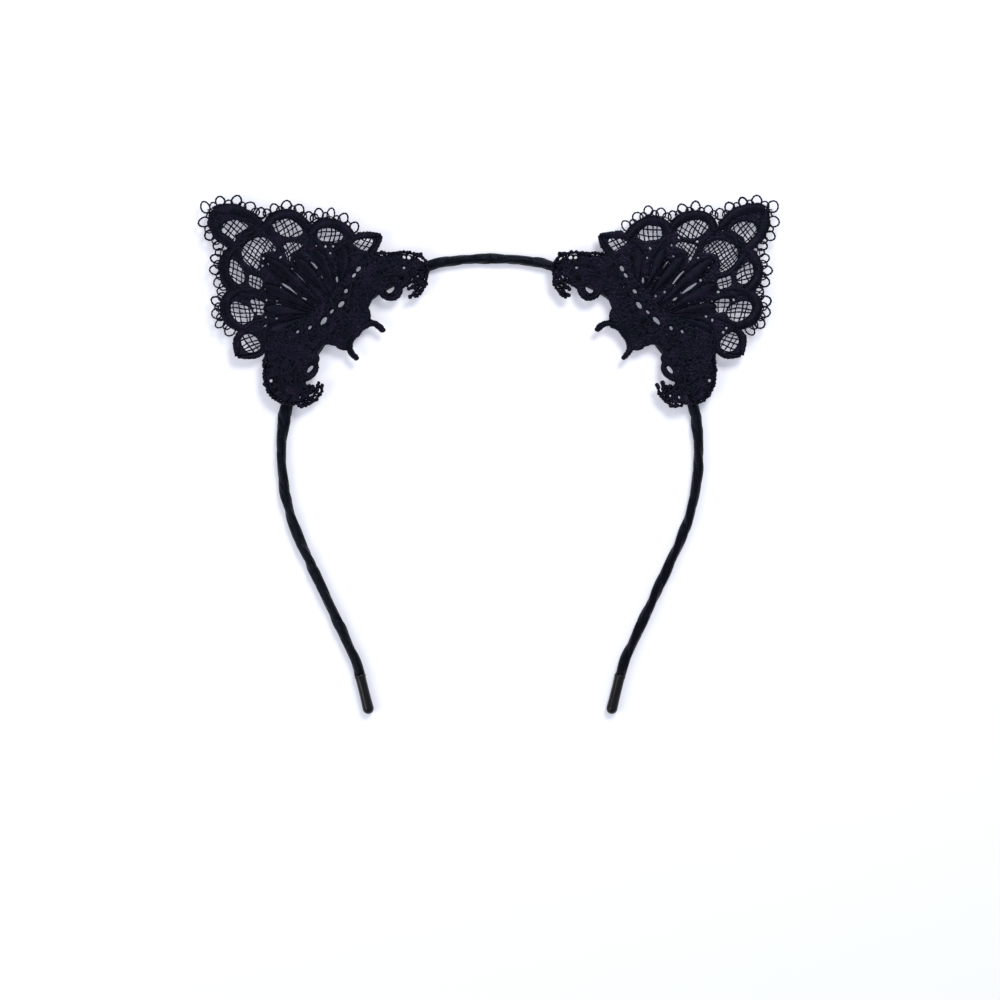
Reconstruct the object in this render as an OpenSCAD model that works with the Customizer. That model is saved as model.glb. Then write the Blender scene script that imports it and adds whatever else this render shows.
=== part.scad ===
// Animal ears headband: a ribbon-wrapped spring wire with two lace ears sewn to it.
// It lies flat: +Z is up from the table, +Y points from the open ends to the crown.
// Units are millimetres. The origin is under the middle of the whole object, on the table.

/* [Band] */
// Widest span of the band, measured on the centreline
band_w = 138.4; // [120:0.2:170]
// Height of the band, from the crown's centreline to the ends of the caps
band_h = 151; // [130:1:185]
// Diameter of the spring wire
wire_d = 1.8; // [1.2:0.1:2.2]
// Outside diameter of the ribbon wrapped on the wire
ribbon_d = 3.4; // [2.8:0.1:4.4]
// Space between the wire and what is wrapped or pushed on it
wire_fit = 0.05; // [0.02:0.01:0.1]
// Diameter of the end caps
cap_d = 3.8; // [3:0.1:5]
// Length of the end caps
cap_len = 13.5; // [8:0.5:18]
// Wall left at the closed end of a cap
cap_end = 2.5; // [2:0.1:4]

/* [Flex points] */
// Length of the crown piece between the two flex points
crown_len = 20; // [12:1:24]
// Gap between the crown piece and each side at a flex point
flex_gap = 0.6; // [0.6:0.1:1]

/* [Ears] */
// Distance between an ear's two sewn points
ear_chord = 62; // [50:0.2:75]
// Distance along the band from the middle of the crown to an ear's first sewn point
ear_start = 22.9; // [20:0.1:28]
// Thickness of the lace
lace_t = 1.2; // [1:0.1:1.6]
// Thickness of the ground net under the raised embroidery
net_t = 0.4; // [0.3:0.1:0.5]
// Space between the top of the ribbon and the lace
lace_gap = 0.3; // [0.3:0.05:0.6]
// Width of one net thread
thread_w = 0.5; // [0.3:0.1:0.8]
// Spacing of the net threads that run up the ear
net_pitch_u = 3; // [2.4:0.2:5]
// Spacing of the net threads that run across the ear
net_pitch_v = 3.6; // [2.4:0.2:6]
// Radius of a picot loop, to the outside
picot_r = 1.65; // [1.3:0.05:1.9]
// Width of the thread in a picot loop
picot_w = 0.45; // [0.3:0.05:0.6]

/* [Sewing] */
// Width of the sewing thread
sew_d = 0.4; // [0.3:0.05:0.5]
// Distance between the two legs of a stitch
sew_span = 2.2; // [2:0.1:3]
// Space around a stitch leg in its needle hole
sew_gap = 0.55; // [0.5:0.05:0.6]
// Height of a stitch above the middle of the lace
sew_rise = 1.15; // [1.1:0.05:1.5]

/* [Hidden] */
$fn = 48;

ribbon_black = "#15161c";
wire_grey = "#8a8d92";
cap_black = "#101014";
lace_navy = "#1d2030";
lace_dark = "#171925";
net_blue = "#2a2e42";
thread_black = "#0d0d10";

// ----- The band's centreline: arcs that meet tangent to tangent, right half -----
// A heading is degrees below level, so the crown starts at 0 and a leg hangs at 90.
// Each arc is [radius before the band is scaled to band_w, heading at its end].
arcs = [[103, 7.5], [39, 19.5], [76, 65.5], [37, 80], [72, 115]];
last_arc = len(arcs) - 1;
leg_heading = arcs[last_arc][1];
flick_turn = 11;                 // the legs bend out again by this much before the caps
flick_r = 40;
cap_heading = leg_heading - flick_turn;

function dir_at(h) = [cos(h), -sin(h)];
function inward(h) = [-sin(h), -cos(h)];
function arc_from(i) = i == 0 ? 0 : arcs[i - 1][1];
function unit_start(i) = i == 0 ? [0, 0] : unit_point(i - 1, arcs[i - 1][1]);
function unit_centre(i) = unit_start(i) + arcs[i][0] * inward(arc_from(i));
function unit_point(i, h) = unit_centre(i) - arcs[i][0] * inward(h);
band_k = band_w / 2 / unit_point(last_arc, 90)[0];

function arc_r(i) = band_k * arcs[i][0];
function arc_centre(i) = band_k * unit_centre(i);
function arc_point(i, h) = band_k * unit_point(i, h);
function arc_len(i) = arc_r(i) * (arcs[i][1] - arc_from(i)) * PI / 180;
function len_before(i) = i == 0 ? 0 : len_before(i - 1) + arc_len(i - 1);

// Which arc, which heading and which point lie at a distance along the centreline
function arc_at(s, i = 0) = i == last_arc || s <= len_before(i + 1) ? i : arc_at(s, i + 1);
function heading_at(s) = let (i = arc_at(s)) arc_from(i) + (s - len_before(i)) / arc_r(i) * 180 / PI;
function band_at(s) = arc_point(arc_at(s), heading_at(s));

// Below the arcs come a straight leg, the bend outwards and the straight end in its cap
leg_top = arc_point(last_arc, leg_heading);
flick_move = flick_r * (inward(cap_heading) - inward(leg_heading));
cap_move = cap_len * dir_at(cap_heading);
leg_len = (band_h + leg_top[1] + flick_move[1] + cap_move[1]) / sin(leg_heading);
leg_end = leg_top + leg_len * dir_at(leg_heading);
flick_centre = leg_end - flick_r * inward(leg_heading);
cap_mouth = leg_end + flick_move;
band_z = max(ribbon_d, cap_d) / 2;

// ----- The ear's own drawing: u runs along its base away from the crown, v towards its tip -----
// Its two sewn points in that drawing; both lie on the band's centreline.
drawn_a = [-28.1, -12.2];
drawn_b = [33.6, -5.1];
ear_k = ear_chord / norm(drawn_b - drawn_a);
sew_a = band_at(ear_start);
function chord_search(lo, hi, n) = let (mid = (lo + hi) / 2) n == 0 ? band_at(mid)
    : norm(band_at(mid) - sew_a) < ear_chord ? chord_search(mid, hi, n - 1) : chord_search(lo, mid, n - 1);
sew_b = chord_search(ear_start, len_before(last_arc) + arc_len(last_arc), 30);
chord_angle = atan2(sew_b[1] - sew_a[1], sew_b[0] - sew_a[0]);
ear_turn = chord_angle - atan2(drawn_b[1] - drawn_a[1], drawn_b[0] - drawn_a[0]);
function turned(p, a) = [p[0] * cos(a) - p[1] * sin(a), p[0] * sin(a) + p[1] * cos(a)];
ear_origin = sew_a - ear_k * turned(drawn_a, ear_turn);
function ear_xy(p) = ear_origin + ear_k * turned(p, ear_turn);

lace_z = band_z + ribbon_d / 2 + lace_gap;
relief_z = lace_z + net_t;
hinge_z = lace_z + lace_t / 2;

// ----- Outlines, in the ear's drawing -----
tip_outline = [[-6.8, 38.5], [-7, 44], [-5.6, 48.3], [-2.6, 52.2], [0.4, 55], [3.6, 52.2], [6.4, 48.3], [7.4, 44],
    [7.2, 38.5], [3.5, 37.4], [0.2, 38.8], [-3.4, 37.4]];
tip_window = [[-4, 41.4], [-3.9, 44.6], [-2, 47.4], [0.2, 48.6], [2.4, 47.4], [4, 44.6], [4, 41.4], [0, 42.6]];
crown_arch_pair = [
    [[-4.6, 38], [-9, 38.3], [-12.6, 36.8], [-15.3, 33.6], [-16.3, 29.6], [-15.8, 25.4], [-13.4, 25],
        [-13.2, 30], [-11.8, 33.2], [-8.6, 34.8], [-4.6, 34]],
    [[-13.2, 25.8], [-16.8, 25.4], [-20, 23.8], [-22.6, 20.4], [-23.4, 15.6], [-22.4, 10.4],
        [-19.4, 10.4], [-20.4, 15.2], [-19.5, 19.4], [-17.4, 21.8], [-13.2, 22]]];
leg_arch_pair = [
    [[4.8, 41.4], [9, 41.6], [12.8, 40.8], [16, 38.4], [17.6, 35], [18.2, 31], [15.6, 30.2],
        [14.9, 34.2], [13.1, 37], [9.6, 38.6], [4.8, 37.8]],
    [[15.2, 31.6], [19, 33], [22.8, 32.9], [26, 30.2], [27.1, 26], [26, 20.4], [22.6, 20.6],
        [24.2, 25.2], [23.4, 28.4], [20.6, 30], [15.6, 28.4]]];
// Ribs from the notches between the arches towards the fan: [outer end, inner end, half widths]
crown_ribs = [[[-5.8, 37], [-4.6, 22], 1.5, 1], [[-14.6, 25.6], [-10.4, 17], 1.5, 2.2], [[-21, 11], [-13.6, 9], 1.6, 3]];
leg_ribs = [[[6.2, 38.6], [6.6, 24], 1.5, 0.8], [[16.8, 30.8], [13, 18], 1.6, 2], [[24.2, 21], [18, 14], 1.6, 2.6]];
crown_leaf_outline = [[-20.4, 12.6], [-23.4, 11], [-26.2, 8.2], [-28.8, 5], [-25.4, 3.6], [-21.6, 2.4], [-19, 5]];
crown_leaf_window = [[-21.2, 10], [-24, 8.4], [-25.2, 6.2], [-22.6, 4.8], [-20.8, 6.6]];
leg_leaf_outline = [[24.2, 21.6], [27.6, 22.2], [31, 20], [33.8, 17.2], [31.2, 13.6], [27.4, 10.8], [23.6, 12.6]];
leg_leaf_window = [[25.6, 19], [28.4, 19.4], [30, 17], [28.6, 14.2], [25.6, 14.4]];
base_outline = [[-21.5, 3.4], [-16, 5.6], [-9, 5], [-3, 4], [3, 4.4], [9, 7.6], [15, 11], [21, 13.2], [25.6, 12],
    [24, 4], [19.6, -4.6], [15, -3], [11.6, -3.8], [9.4, -7], [2, -7.4], [-5.6, -7], [-10.4, -6], [-14, -7.6],
    [-18, -3]];
// Round windows in the base: [u, v, radius]
base_windows = [[-14.6, 3, 1.5], [-11.2, 1.5, 0.9], [-6, 1.6, 0.8], [-1.8, 0.9, 1.1], [2.4, 2.2, 0.8], [5.8, 2, 1.2],
    [10, 5.2, 0.8], [13.4, 7.2, 0.7], [16.2, 8.4, 0.7], [19.8, 9.8, 0.8]];
spurs_outline = [[-6.4, -6], [-5, -9.4], [-4.9, -12.4], [-5, -14.8], [-4, -15.7], [-3.1, -14.6], [-2.9, -12],
    [-1.2, -10.2], [2, -9.3], [5, -9.3], [7.2, -10.8], [7.6, -13.2], [8.5, -14.6], [9.5, -13.6], [9.3, -10],
    [10.2, -6], [2, -5.4]];
crown_scroll_outline = [[-20.6, 1.6], [-24.6, -0.8], [-27.6, -4.8], [-29.2, -9], [-28.4, -13], [-26.2, -16.2],
    [-21.6, -18.6], [-17, -18], [-15.2, -16], [-18.6, -14.6], [-16, -13.4], [-13, -11.2], [-11.6, -7.6],
    [-12.6, -5.4]];
crown_scroll_eyes = [[-16, -9.3, 1.2]];
leg_scroll_outline = [[22, 12], [26.8, 9.8], [31.2, 5.8], [33.9, 1], [34.6, -3.6], [32.6, -7], [28.6, -10.4],
    [24.4, -10.8], [22.6, -9], [24, -7], [20.4, -6.6], [17.6, -4.6], [19, 1]];
leg_scroll_eyes = [[20.6, -4.4, 0.7], [25.6, -8.6, 0.7], [28.4, -7.4, 0.6]];
// Petals of the fan: [foot, top, half width]
petals = [[[-7, 5], [-17, 12.5], 2.2], [[-4.5, 5.4], [-10.8, 18.8], 2.2], [[-1.5, 5], [-4.4, 22.4], 2.3],
    [[2.3, 5], [1.9, 29.6], 2.3], [[5, 5.4], [9.4, 24.6], 2.3], [[7, 7], [15, 19.6], 2.2], [[9.5, 8], [19.6, 14], 2.1]];
petal_steps = 9;
// The ground net reaches this far, under the middle of the borders
net_outline = [[-19, 3], [-26, 5.4], [-22.3, 10.4], [-22.1, 15.8], [-21.3, 20], [-19.2, 22.7], [-15, 24.4], [-15, 29.8],
    [-14.2, 33], [-12, 35.6], [-8.8, 37], [-5.8, 37.2], [-5.8, 44], [-4.4, 48], [0.4, 53], [5, 48], [6.2, 44],
    [6.2, 40.2], [9, 40.3], [12.4, 39.6], [15, 37.6], [16.4, 34.8], [17, 31.8], [22.4, 31.6], [24.9, 29.4],
    [25.9, 26], [25, 21.6], [27.4, 21], [31.6, 17.2], [26.6, 12.4], [0, -2]];
// Centres of the picot loops, from the tip down each side
picots = [[1, 56.3], [-3.9, 53.6], [-6.9, 49.3], [-8.2, 44.9], [-8.4, 40.6], [-12.2, 38.7], [-15.6, 35.9],
    [-17.5, 31.9], [-17.6, 27.6], [-20.9, 25.6], [-23.6, 22.3], [-24.8, 18.2], [-24.7, 13.8],
    [5.6, 53], [8.2, 48.8], [9, 44.2], [12.6, 42.6], [16, 40.7], [18.6, 37.4], [19.8, 34.2], [23.6, 34.2],
    [26.9, 31.9], [28.6, 28.2], [28.5, 24.2]];

// The whole object's middle along Y lies between its highest picot and the lowest point of its caps
ear_top = max([for (p = picots) ear_xy(p)[1] + picot_r * ear_k]);
cap_ball = cap_mouth + (cap_len - cap_d / 2) * dir_at(cap_heading);
mid_y = (ear_top + cap_ball[1] - cap_d / 2) / 2;

// ----- Helpers -----
module placed(side) {
    translate([0, -mid_y, 0]) mirror([side == "left" ? 1 : 0, 0, 0]) children();
}

// Sweeps a profile round a centre, from one heading to a later one on a right-hand bend
module swept(centre, r, h0, h1) {
    translate([centre[0], centre[1], band_z]) rotate([0, 0, 90 - h1])
        rotate_extrude(angle = h1 - h0, $fn = 96) translate([r, 0]) children();
}

// Pushes a profile straight along a heading
module pushed(from, heading, length) {
    translate([from[0], from[1], band_z]) rotate([0, 0, -heading]) rotate([90, 0, 90])
        linear_extrude(length) children();
}

flex_heading = asin(crown_len / 2 / arc_r(0));
gap_heading = flex_gap / 2 / arc_r(0) * 180 / PI;

// Stops along the centreline of one side, each [point, heading], about stop_gap apart
stop_gap = 4;
function arc_stops(i, h0) = let (n = ceil(arc_r(i) * (arcs[i][1] - h0) * PI / 180 / stop_gap))
    [for (j = [0 : n - 1]) let (h = h0 + (arcs[i][1] - h0) * j / n) [arc_point(i, h), h]];
flick_stops = [for (j = [0 : 3]) let (h = leg_heading - flick_turn * j / 3) [flick_centre + flick_r * inward(h), h]];
side_stops = concat(arc_stops(0, flex_heading + gap_heading), [for (i = [1 : last_arc]) each arc_stops(i, arc_from(i))],
    [[leg_top, leg_heading]], flick_stops);
wire_stops = concat(side_stops, [[cap_mouth + (cap_len - cap_end) * dir_at(cap_heading), cap_heading]]);

// One tube through the stops; an inner diameter of 0 makes it solid
module tube(stops, d_out, d_in, sides) {
    rings = len(stops);
    layers = d_in > 0 ? 2 : 1;
    function spot(stop, d, k) = let (a = 360 * k / sides, flat = stop[0] + d / 2 * cos(a) * inward(stop[1]))
        [flat[0], flat[1], band_z + d / 2 * sin(a)];
    function id(layer, ring, k) = (layer * rings + ring) * sides + (k + sides) % sides;
    points = [for (layer = [0 : layers - 1], stop = stops, k = [0 : sides - 1])
        spot(stop, layer == 0 ? d_out : d_in, k)];
    walls = [for (layer = [0 : layers - 1], ring = [0 : rings - 2], k = [0 : sides - 1])
        let (a = id(layer, ring, k), b = id(layer, ring, k + 1), c = id(layer, ring + 1, k + 1), d = id(layer, ring + 1, k))
        each (layer == 0 ? [[a, b, c], [a, c, d]] : [[c, b, a], [d, c, a]])];
    ends = d_in > 0
        ? [for (ring = [0, rings - 1], k = [0 : sides - 1])
            let (a = id(0, ring, k), b = id(0, ring, k + 1), c = id(1, ring, k + 1), d = id(1, ring, k))
            each (ring == 0 ? [[c, b, a], [d, c, a]] : [[a, b, c], [a, c, d]])]
        : [[for (k = [sides - 1 : -1 : 0]) id(0, 0, k)], [for (k = [0 : sides - 1]) id(0, rings - 1, k)]];
    polyhedron(points, concat(walls, ends));
}

module wire_profile() { circle(d = wire_d, $fn = 32); }

module ribbon_profile() {
    difference() {
        circle(d = ribbon_d);
        circle(d = wire_d + 2 * wire_fit, $fn = 32);
    }
}

// A smooth closed curve through the points
function at(pts, i) = pts[(i + len(pts)) % len(pts)];
function smooth(pts, steps = 4) = [for (i = [0 : len(pts) - 1], j = [0 : steps - 1])
    let (a = at(pts, i - 1), b = pts[i], c = at(pts, i + 1), d = at(pts, i + 2), t = j / steps)
    (2 * b + (c - a) * t + (2 * a - 5 * b + 4 * c - d) * t ^ 2 + (3 * b - a - 3 * c + d) * t ^ 3) / 2];

module outline(pts, steps = 4) { polygon(ear_k * smooth(pts, steps)); }

module eyes(list) { for (e = list) translate(ear_k * [e[0], e[1]]) circle(r = ear_k * e[2], $fn = 20); }

// A bar that tapers between two points
module rib(r) {
    along = (r[1] - r[0]) / norm(r[1] - r[0]);
    across = [-along[1], along[0]];
    polygon(ear_k * [r[0] + r[2] * across, r[0] - r[2] * across, r[1] - r[3] * across, r[1] + r[3] * across]);
}

module petal(p) {
    along = p[1] - p[0];
    across = [-along[1], along[0]] / norm(along);
    function half(t) = p[2] * sin(180 * t ^ 1.5) ^ 0.7;
    polygon(ear_k * concat(
        [for (j = [0 : petal_steps]) let (t = j / petal_steps) p[0] + along * t + half(t) * across],
        [for (j = [petal_steps - 1 : -1 : 1]) let (t = j / petal_steps) p[0] + along * t - half(t) * across]));
}

module fan() { for (p = petals) petal(p); }

// Raises a drawing into lace on an ear: the relief stands on the ground net, the rest is the full thickness
module relief(side) { lace(side, relief_z, lace_t - net_t) children(); }
module lace(side, z = lace_z, t = lace_t) {
    placed(side) translate([ear_origin[0], ear_origin[1], z]) rotate([0, 0, ear_turn])
        linear_extrude(t) children();
}

// ----- Band -----
module crown_wire() {
    color(wire_grey) translate([0, -mid_y, 0])
        swept(arc_centre(0), arc_r(0), gap_heading - flex_heading, flex_heading - gap_heading) wire_profile();
}

module crown_ribbon() {
    color(ribbon_black) translate([0, -mid_y, 0])
        swept(arc_centre(0), arc_r(0), gap_heading - flex_heading, flex_heading - gap_heading) ribbon_profile();
}

// The wire runs on into the cap as far as the cap's closed end
module side_wire(side) { color(wire_grey) placed(side) tube(wire_stops, wire_d, 0, 12); }

module side_ribbon(side) { color(ribbon_black) placed(side) tube(side_stops, ribbon_d, wire_d + 2 * wire_fit, 18); }

module tip_cap(side) {
    color(cap_black) placed(side) difference() {
        translate([cap_mouth[0], cap_mouth[1], band_z]) rotate([0, 0, -cap_heading]) rotate([0, 90, 0]) {
            cylinder(d = cap_d, h = cap_len - cap_d / 2);
            translate([0, 0, cap_len - cap_d / 2]) sphere(d = cap_d);
        }
        pushed(cap_mouth, cap_heading, cap_len - cap_end) circle(d = wire_d + 2 * wire_fit, $fn = 32);
    }
}

// ----- Sewing: one thread over the lace at each sewn point, its legs on the ear's hinge line -----
sew_dir = (sew_b - sew_a) / norm(sew_b - sew_a);
function legs_of(point) = [point - sew_span / 2 * sew_dir, point + sew_span / 2 * sew_dir];

module stitch(side, point) {
    outer = (sew_span + sew_d) / 2;
    inner = (sew_span - sew_d) / 2;
    foot = band_z + ribbon_d / 2;
    top = hinge_z + sew_rise;
    color(thread_black) placed(side) translate([point[0], point[1], 0]) rotate([0, 0, chord_angle])
        rotate([90, 0, 0]) translate([0, 0, -sew_d / 2]) linear_extrude(sew_d)
            polygon([[-outer, foot], [-outer, top + sew_d / 2], [outer, top + sew_d / 2], [outer, foot],
                [inner, foot], [inner, top - sew_d / 2], [-inner, top - sew_d / 2], [-inner, foot]]);
}

// Needle holes, in the ear's drawing
module needle_holes() {
    for (point = [sew_a, sew_b], leg = legs_of(point))
        translate(turned(leg - ear_origin, -ear_turn)) circle(d = sew_d + 2 * sew_gap, $fn = 24);
}

// ----- Ears -----
module ear_net(side) {
    color(net_blue) lace(side, lace_z, net_t) difference() {
        intersection() {
            polygon(ear_k * net_outline);
            union() {
                for (u = [-27 : net_pitch_u : 33]) translate([ear_k * u - thread_w / 2, -5]) square([thread_w, 65 * ear_k]);
                for (v = [1 : net_pitch_v : 54]) translate([-30 * ear_k, ear_k * v - thread_w / 2])
                    square([66 * ear_k, thread_w]);
            }
        }
        outline(base_outline);
    }
}

module ear_tip_petal(side) {
    color(lace_navy) relief(side) difference() {
        outline(tip_outline);
        outline(tip_window);
    }
}

module ear_arches(side, pair, ribs) {
    color(lace_dark) relief(side) difference() {
        union() {
            for (a = pair) outline(a);
            for (r = ribs) rib(r);
        }
        outline(tip_outline);
        outline(base_outline);
        fan();
    }
}

module ear_fan_petals(side) {
    color(lace_navy) relief(side) difference() {
        fan();
        outline(base_outline);
    }
}

module ear_leaf(side, leaf, window, pair, ribs) {
    color(lace_dark) relief(side) difference() {
        outline(leaf);
        outline(window);
        for (a = pair) outline(a);
        for (r = ribs) rib(r);
        outline(base_outline);
    }
}

module ear_picots(side) {
    color(thread_black) lace(side, lace_z, net_t) difference() {
        for (p = picots) translate(ear_k * p) difference() {
            circle(r = picot_r * ear_k, $fn = 24);
            circle(r = picot_r * ear_k - picot_w, $fn = 24);
        }
        polygon(ear_k * net_outline);
    }
}

module ear_base_band(side) {
    color(lace_dark) lace(side) difference() {
        outline(base_outline);
        eyes(base_windows);
    }
}

module ear_spurs(side) {
    color(lace_navy) lace(side) difference() {
        outline(spurs_outline);
        outline(base_outline);
    }
}

module ear_scroll(side, body, body_eyes, leaf) {
    color(lace_dark) lace(side) difference() {
        outline(body);
        outline(base_outline);
        outline(leaf);
        eyes(body_eyes);
        needle_holes();
    }
}

// ----- What is drawn -----
crown_wire();
crown_ribbon();
for (side = ["left", "right"]) {
    side_wire(side);
    side_ribbon(side);
    tip_cap(side);
    stitch(side, sew_a);
    stitch(side, sew_b);
    ear_net(side);
    ear_tip_petal(side);
    ear_arches(side, crown_arch_pair, crown_ribs);
    ear_arches(side, leg_arch_pair, leg_ribs);
    ear_fan_petals(side);
    ear_leaf(side, crown_leaf_outline, crown_leaf_window, crown_arch_pair, crown_ribs);
    ear_leaf(side, leg_leaf_outline, leg_leaf_window, leg_arch_pair, leg_ribs);
    ear_picots(side);
    ear_base_band(side);
    ear_spurs(side);
    ear_scroll(side, crown_scroll_outline, crown_scroll_eyes, crown_leaf_outline);
    ear_scroll(side, leg_scroll_outline, leg_scroll_eyes, leg_leaf_outline);
}
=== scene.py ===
import math

import bpy
import numpy as np
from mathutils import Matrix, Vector


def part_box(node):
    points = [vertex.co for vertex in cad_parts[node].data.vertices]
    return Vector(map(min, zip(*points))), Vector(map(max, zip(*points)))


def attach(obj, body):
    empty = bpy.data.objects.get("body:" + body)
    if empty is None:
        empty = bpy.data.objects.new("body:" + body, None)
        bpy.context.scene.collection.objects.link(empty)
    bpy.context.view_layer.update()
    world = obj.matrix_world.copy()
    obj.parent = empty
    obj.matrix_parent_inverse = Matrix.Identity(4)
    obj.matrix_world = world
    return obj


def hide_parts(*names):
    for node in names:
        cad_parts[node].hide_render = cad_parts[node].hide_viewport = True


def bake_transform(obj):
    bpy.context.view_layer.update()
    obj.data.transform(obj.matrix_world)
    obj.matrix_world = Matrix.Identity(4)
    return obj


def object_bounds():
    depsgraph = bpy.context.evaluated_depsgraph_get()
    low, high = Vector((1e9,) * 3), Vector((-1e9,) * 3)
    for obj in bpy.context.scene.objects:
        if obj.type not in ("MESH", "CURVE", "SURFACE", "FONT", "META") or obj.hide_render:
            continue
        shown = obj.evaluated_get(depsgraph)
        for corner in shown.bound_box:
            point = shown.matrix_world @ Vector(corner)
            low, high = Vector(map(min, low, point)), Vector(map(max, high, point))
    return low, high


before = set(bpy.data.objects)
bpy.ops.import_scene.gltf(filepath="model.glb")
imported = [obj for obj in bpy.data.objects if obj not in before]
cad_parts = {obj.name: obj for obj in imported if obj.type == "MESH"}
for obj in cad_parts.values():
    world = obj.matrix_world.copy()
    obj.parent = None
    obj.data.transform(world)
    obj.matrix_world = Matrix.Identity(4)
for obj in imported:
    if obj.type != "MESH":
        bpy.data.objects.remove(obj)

cad_lo, cad_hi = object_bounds()
MM = 0.001
SIDES = (("left", -1), ("right", 1))

# ---------------------------------------------------------------- camera, light and floor
VIEW_SPAN = 0.330           # width of the picture at the height of the lace
LENS = 85
SENSOR = 36
SHIFT = Vector((0.0033, -0.0150))   # the picture's middle, from the middle of the object


def look_down():
    """A camera straight above, with the open ends of the band towards the bottom of the picture."""
    camera = bpy.data.objects.new("camera", bpy.data.cameras.new("camera"))
    camera.data.lens = LENS
    camera.data.sensor_width = SENSOR
    camera.data.dof.use_dof = False
    camera.location = (SHIFT.x, SHIFT.y, cad_hi.z + VIEW_SPAN * LENS / SENSOR)
    bpy.context.scene.collection.objects.link(camera)
    bpy.context.scene.camera = camera


def soft_light(name, place, size, power):
    light = bpy.data.lights.new(name, "AREA")
    light.shape = "DISK"
    light.size = size
    light.energy = power
    lamp = bpy.data.objects.new(name, light)
    lamp.location = place
    lamp.rotation_euler = Vector(place).to_track_quat("Z", "Y").to_euler()
    bpy.context.scene.collection.objects.link(lamp)


def studio():
    world = bpy.data.worlds.new("studio")
    world.use_nodes = True
    world.node_tree.nodes["Background"].inputs["Color"].default_value = (0.9, 0.92, 1.0, 1)
    world.node_tree.nodes["Background"].inputs["Strength"].default_value = 0.46
    bpy.context.scene.world = world
    bpy.context.scene.view_settings.view_transform = "Standard"
    soft_light("key", (0.22, 0.42, 0.62), 0.3, 2.8)
    soft_light("fill", (-0.55, -0.2, 0.6), 0.5, 1.5)
    bpy.ops.mesh.primitive_plane_add(size=12)
    floor = bpy.context.object
    floor.name = "floor"
    floor.data.materials.append(floor_with_painted_fill_glow())


# ---------------------------------------------------------------- materials
def material(name, color, roughness):
    made = bpy.data.materials.new(name)
    made.use_nodes = True
    shader = made.node_tree.nodes["Principled BSDF"]
    shader.inputs["Base Color"].default_value = (*color, 1)
    shader.inputs["Roughness"].default_value = roughness
    return made, made.node_tree, shader


def node(tree, kind, **settings):
    made = tree.nodes.new(kind)
    for key, value in settings.items():
        if key in made.inputs:
            made.inputs[key].default_value = value
        else:
            setattr(made, key, value)
    return made


def mottle(tree, shader, source, scale, colors, socket="Base Color"):
    """Soft patches between two or three colours, or greys for a roughness."""
    noise = node(tree, "ShaderNodeTexNoise", Scale=scale, Detail=3.0)
    ramp = node(tree, "ShaderNodeValToRGB")
    ramp.color_ramp.elements[0].position = 0.32
    ramp.color_ramp.elements[1].position = 0.68
    ramp.color_ramp.elements[0].color = (*colors[0], 1)
    ramp.color_ramp.elements[1].color = (*colors[-1], 1)
    if len(colors) == 3:
        ramp.color_ramp.elements.new(0.5).color = (*colors[1], 1)
    tree.links.new(source, noise.inputs["Vector"])
    tree.links.new(noise.outputs["Fac"], ramp.inputs["Fac"])
    tree.links.new(ramp.outputs["Color"], shader.inputs[socket])


def bumped(tree, shader, heights, distance, strength):
    bump = node(tree, "ShaderNodeBump", Distance=distance, Strength=strength)
    tree.links.new(heights, bump.inputs["Height"])
    tree.links.new(bump.outputs["Normal"], shader.inputs["Normal"])


def floor_with_painted_fill_glow():
    made, tree, shader = material("floor", (0.93, 0.935, 0.95), 0.75)
    shader.inputs["Specular IOR Level"].default_value = 0.1
    # Painted light: the floor glows faintly in pale blue, lifting and blue-tinting the shadows under the lace
    # and in its holes.
    shader.inputs["Emission Color"].default_value = (0.78, 0.82, 1.0, 1)
    shader.inputs["Emission Strength"].default_value = 0.3
    return made


def thread_material(name, colors, roughness):
    """Polyester embroidery thread: near-black, with fibres fine enough to break up its sheen."""
    made, tree, shader = material(name, colors[0], roughness)
    shader.inputs["Specular IOR Level"].default_value = 0.17
    shader.inputs["Specular Tint"].default_value = (0.55, 0.6, 1.0, 1)
    place = node(tree, "ShaderNodeTexCoord").outputs["Object"]
    mottle(tree, shader, place, 260.0, colors)
    mottle(tree, shader, place, 900.0, ((roughness - 0.1,) * 3, (roughness + 0.12,) * 3), "Roughness")
    fibre = node(tree, "ShaderNodeTexNoise", Scale=9000.0, Detail=2.0, Roughness=0.6)
    tree.links.new(place, fibre.inputs["Vector"])
    bumped(tree, shader, fibre.outputs["Fac"], 0.00008, 0.6)
    return made


def ribbon_material():
    """Black satin: a fine weave across the ribbon, soft creases and a grey-blue gloss."""
    made, tree, shader = material("satin_ribbon", (0.012, 0.013, 0.018), 0.36)
    shader.inputs["Specular IOR Level"].default_value = 0.15
    shader.inputs["Specular Tint"].default_value = (0.6, 0.72, 1.0, 1)
    place = node(tree, "ShaderNodeUVMap", uv_map="wrap").outputs["UV"]
    mottle(tree, shader, place, 0.35,
           ((0.0008, 0.0011, 0.0022), (0.0013, 0.0019, 0.0036), (0.003, 0.004, 0.0075)))
    mottle(tree, shader, place, 1.3, ((0.22,) * 3, (0.36,) * 3), "Roughness")
    weave = node(tree, "ShaderNodeTexWave", bands_direction="X", Scale=1.6, Distortion=1.2, Detail=2.0)
    crease = node(tree, "ShaderNodeTexNoise", Scale=0.8, Detail=4.0)
    both = node(tree, "ShaderNodeMath", operation="MULTIPLY_ADD")
    both.inputs[1].default_value = 0.35
    tree.links.new(place, weave.inputs["Vector"])
    tree.links.new(place, crease.inputs["Vector"])
    tree.links.new(weave.outputs["Fac"], both.inputs[0])
    tree.links.new(crease.outputs["Fac"], both.inputs[2])
    bumped(tree, shader, both.outputs["Value"], 0.00012, 0.5)
    return made


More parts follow.
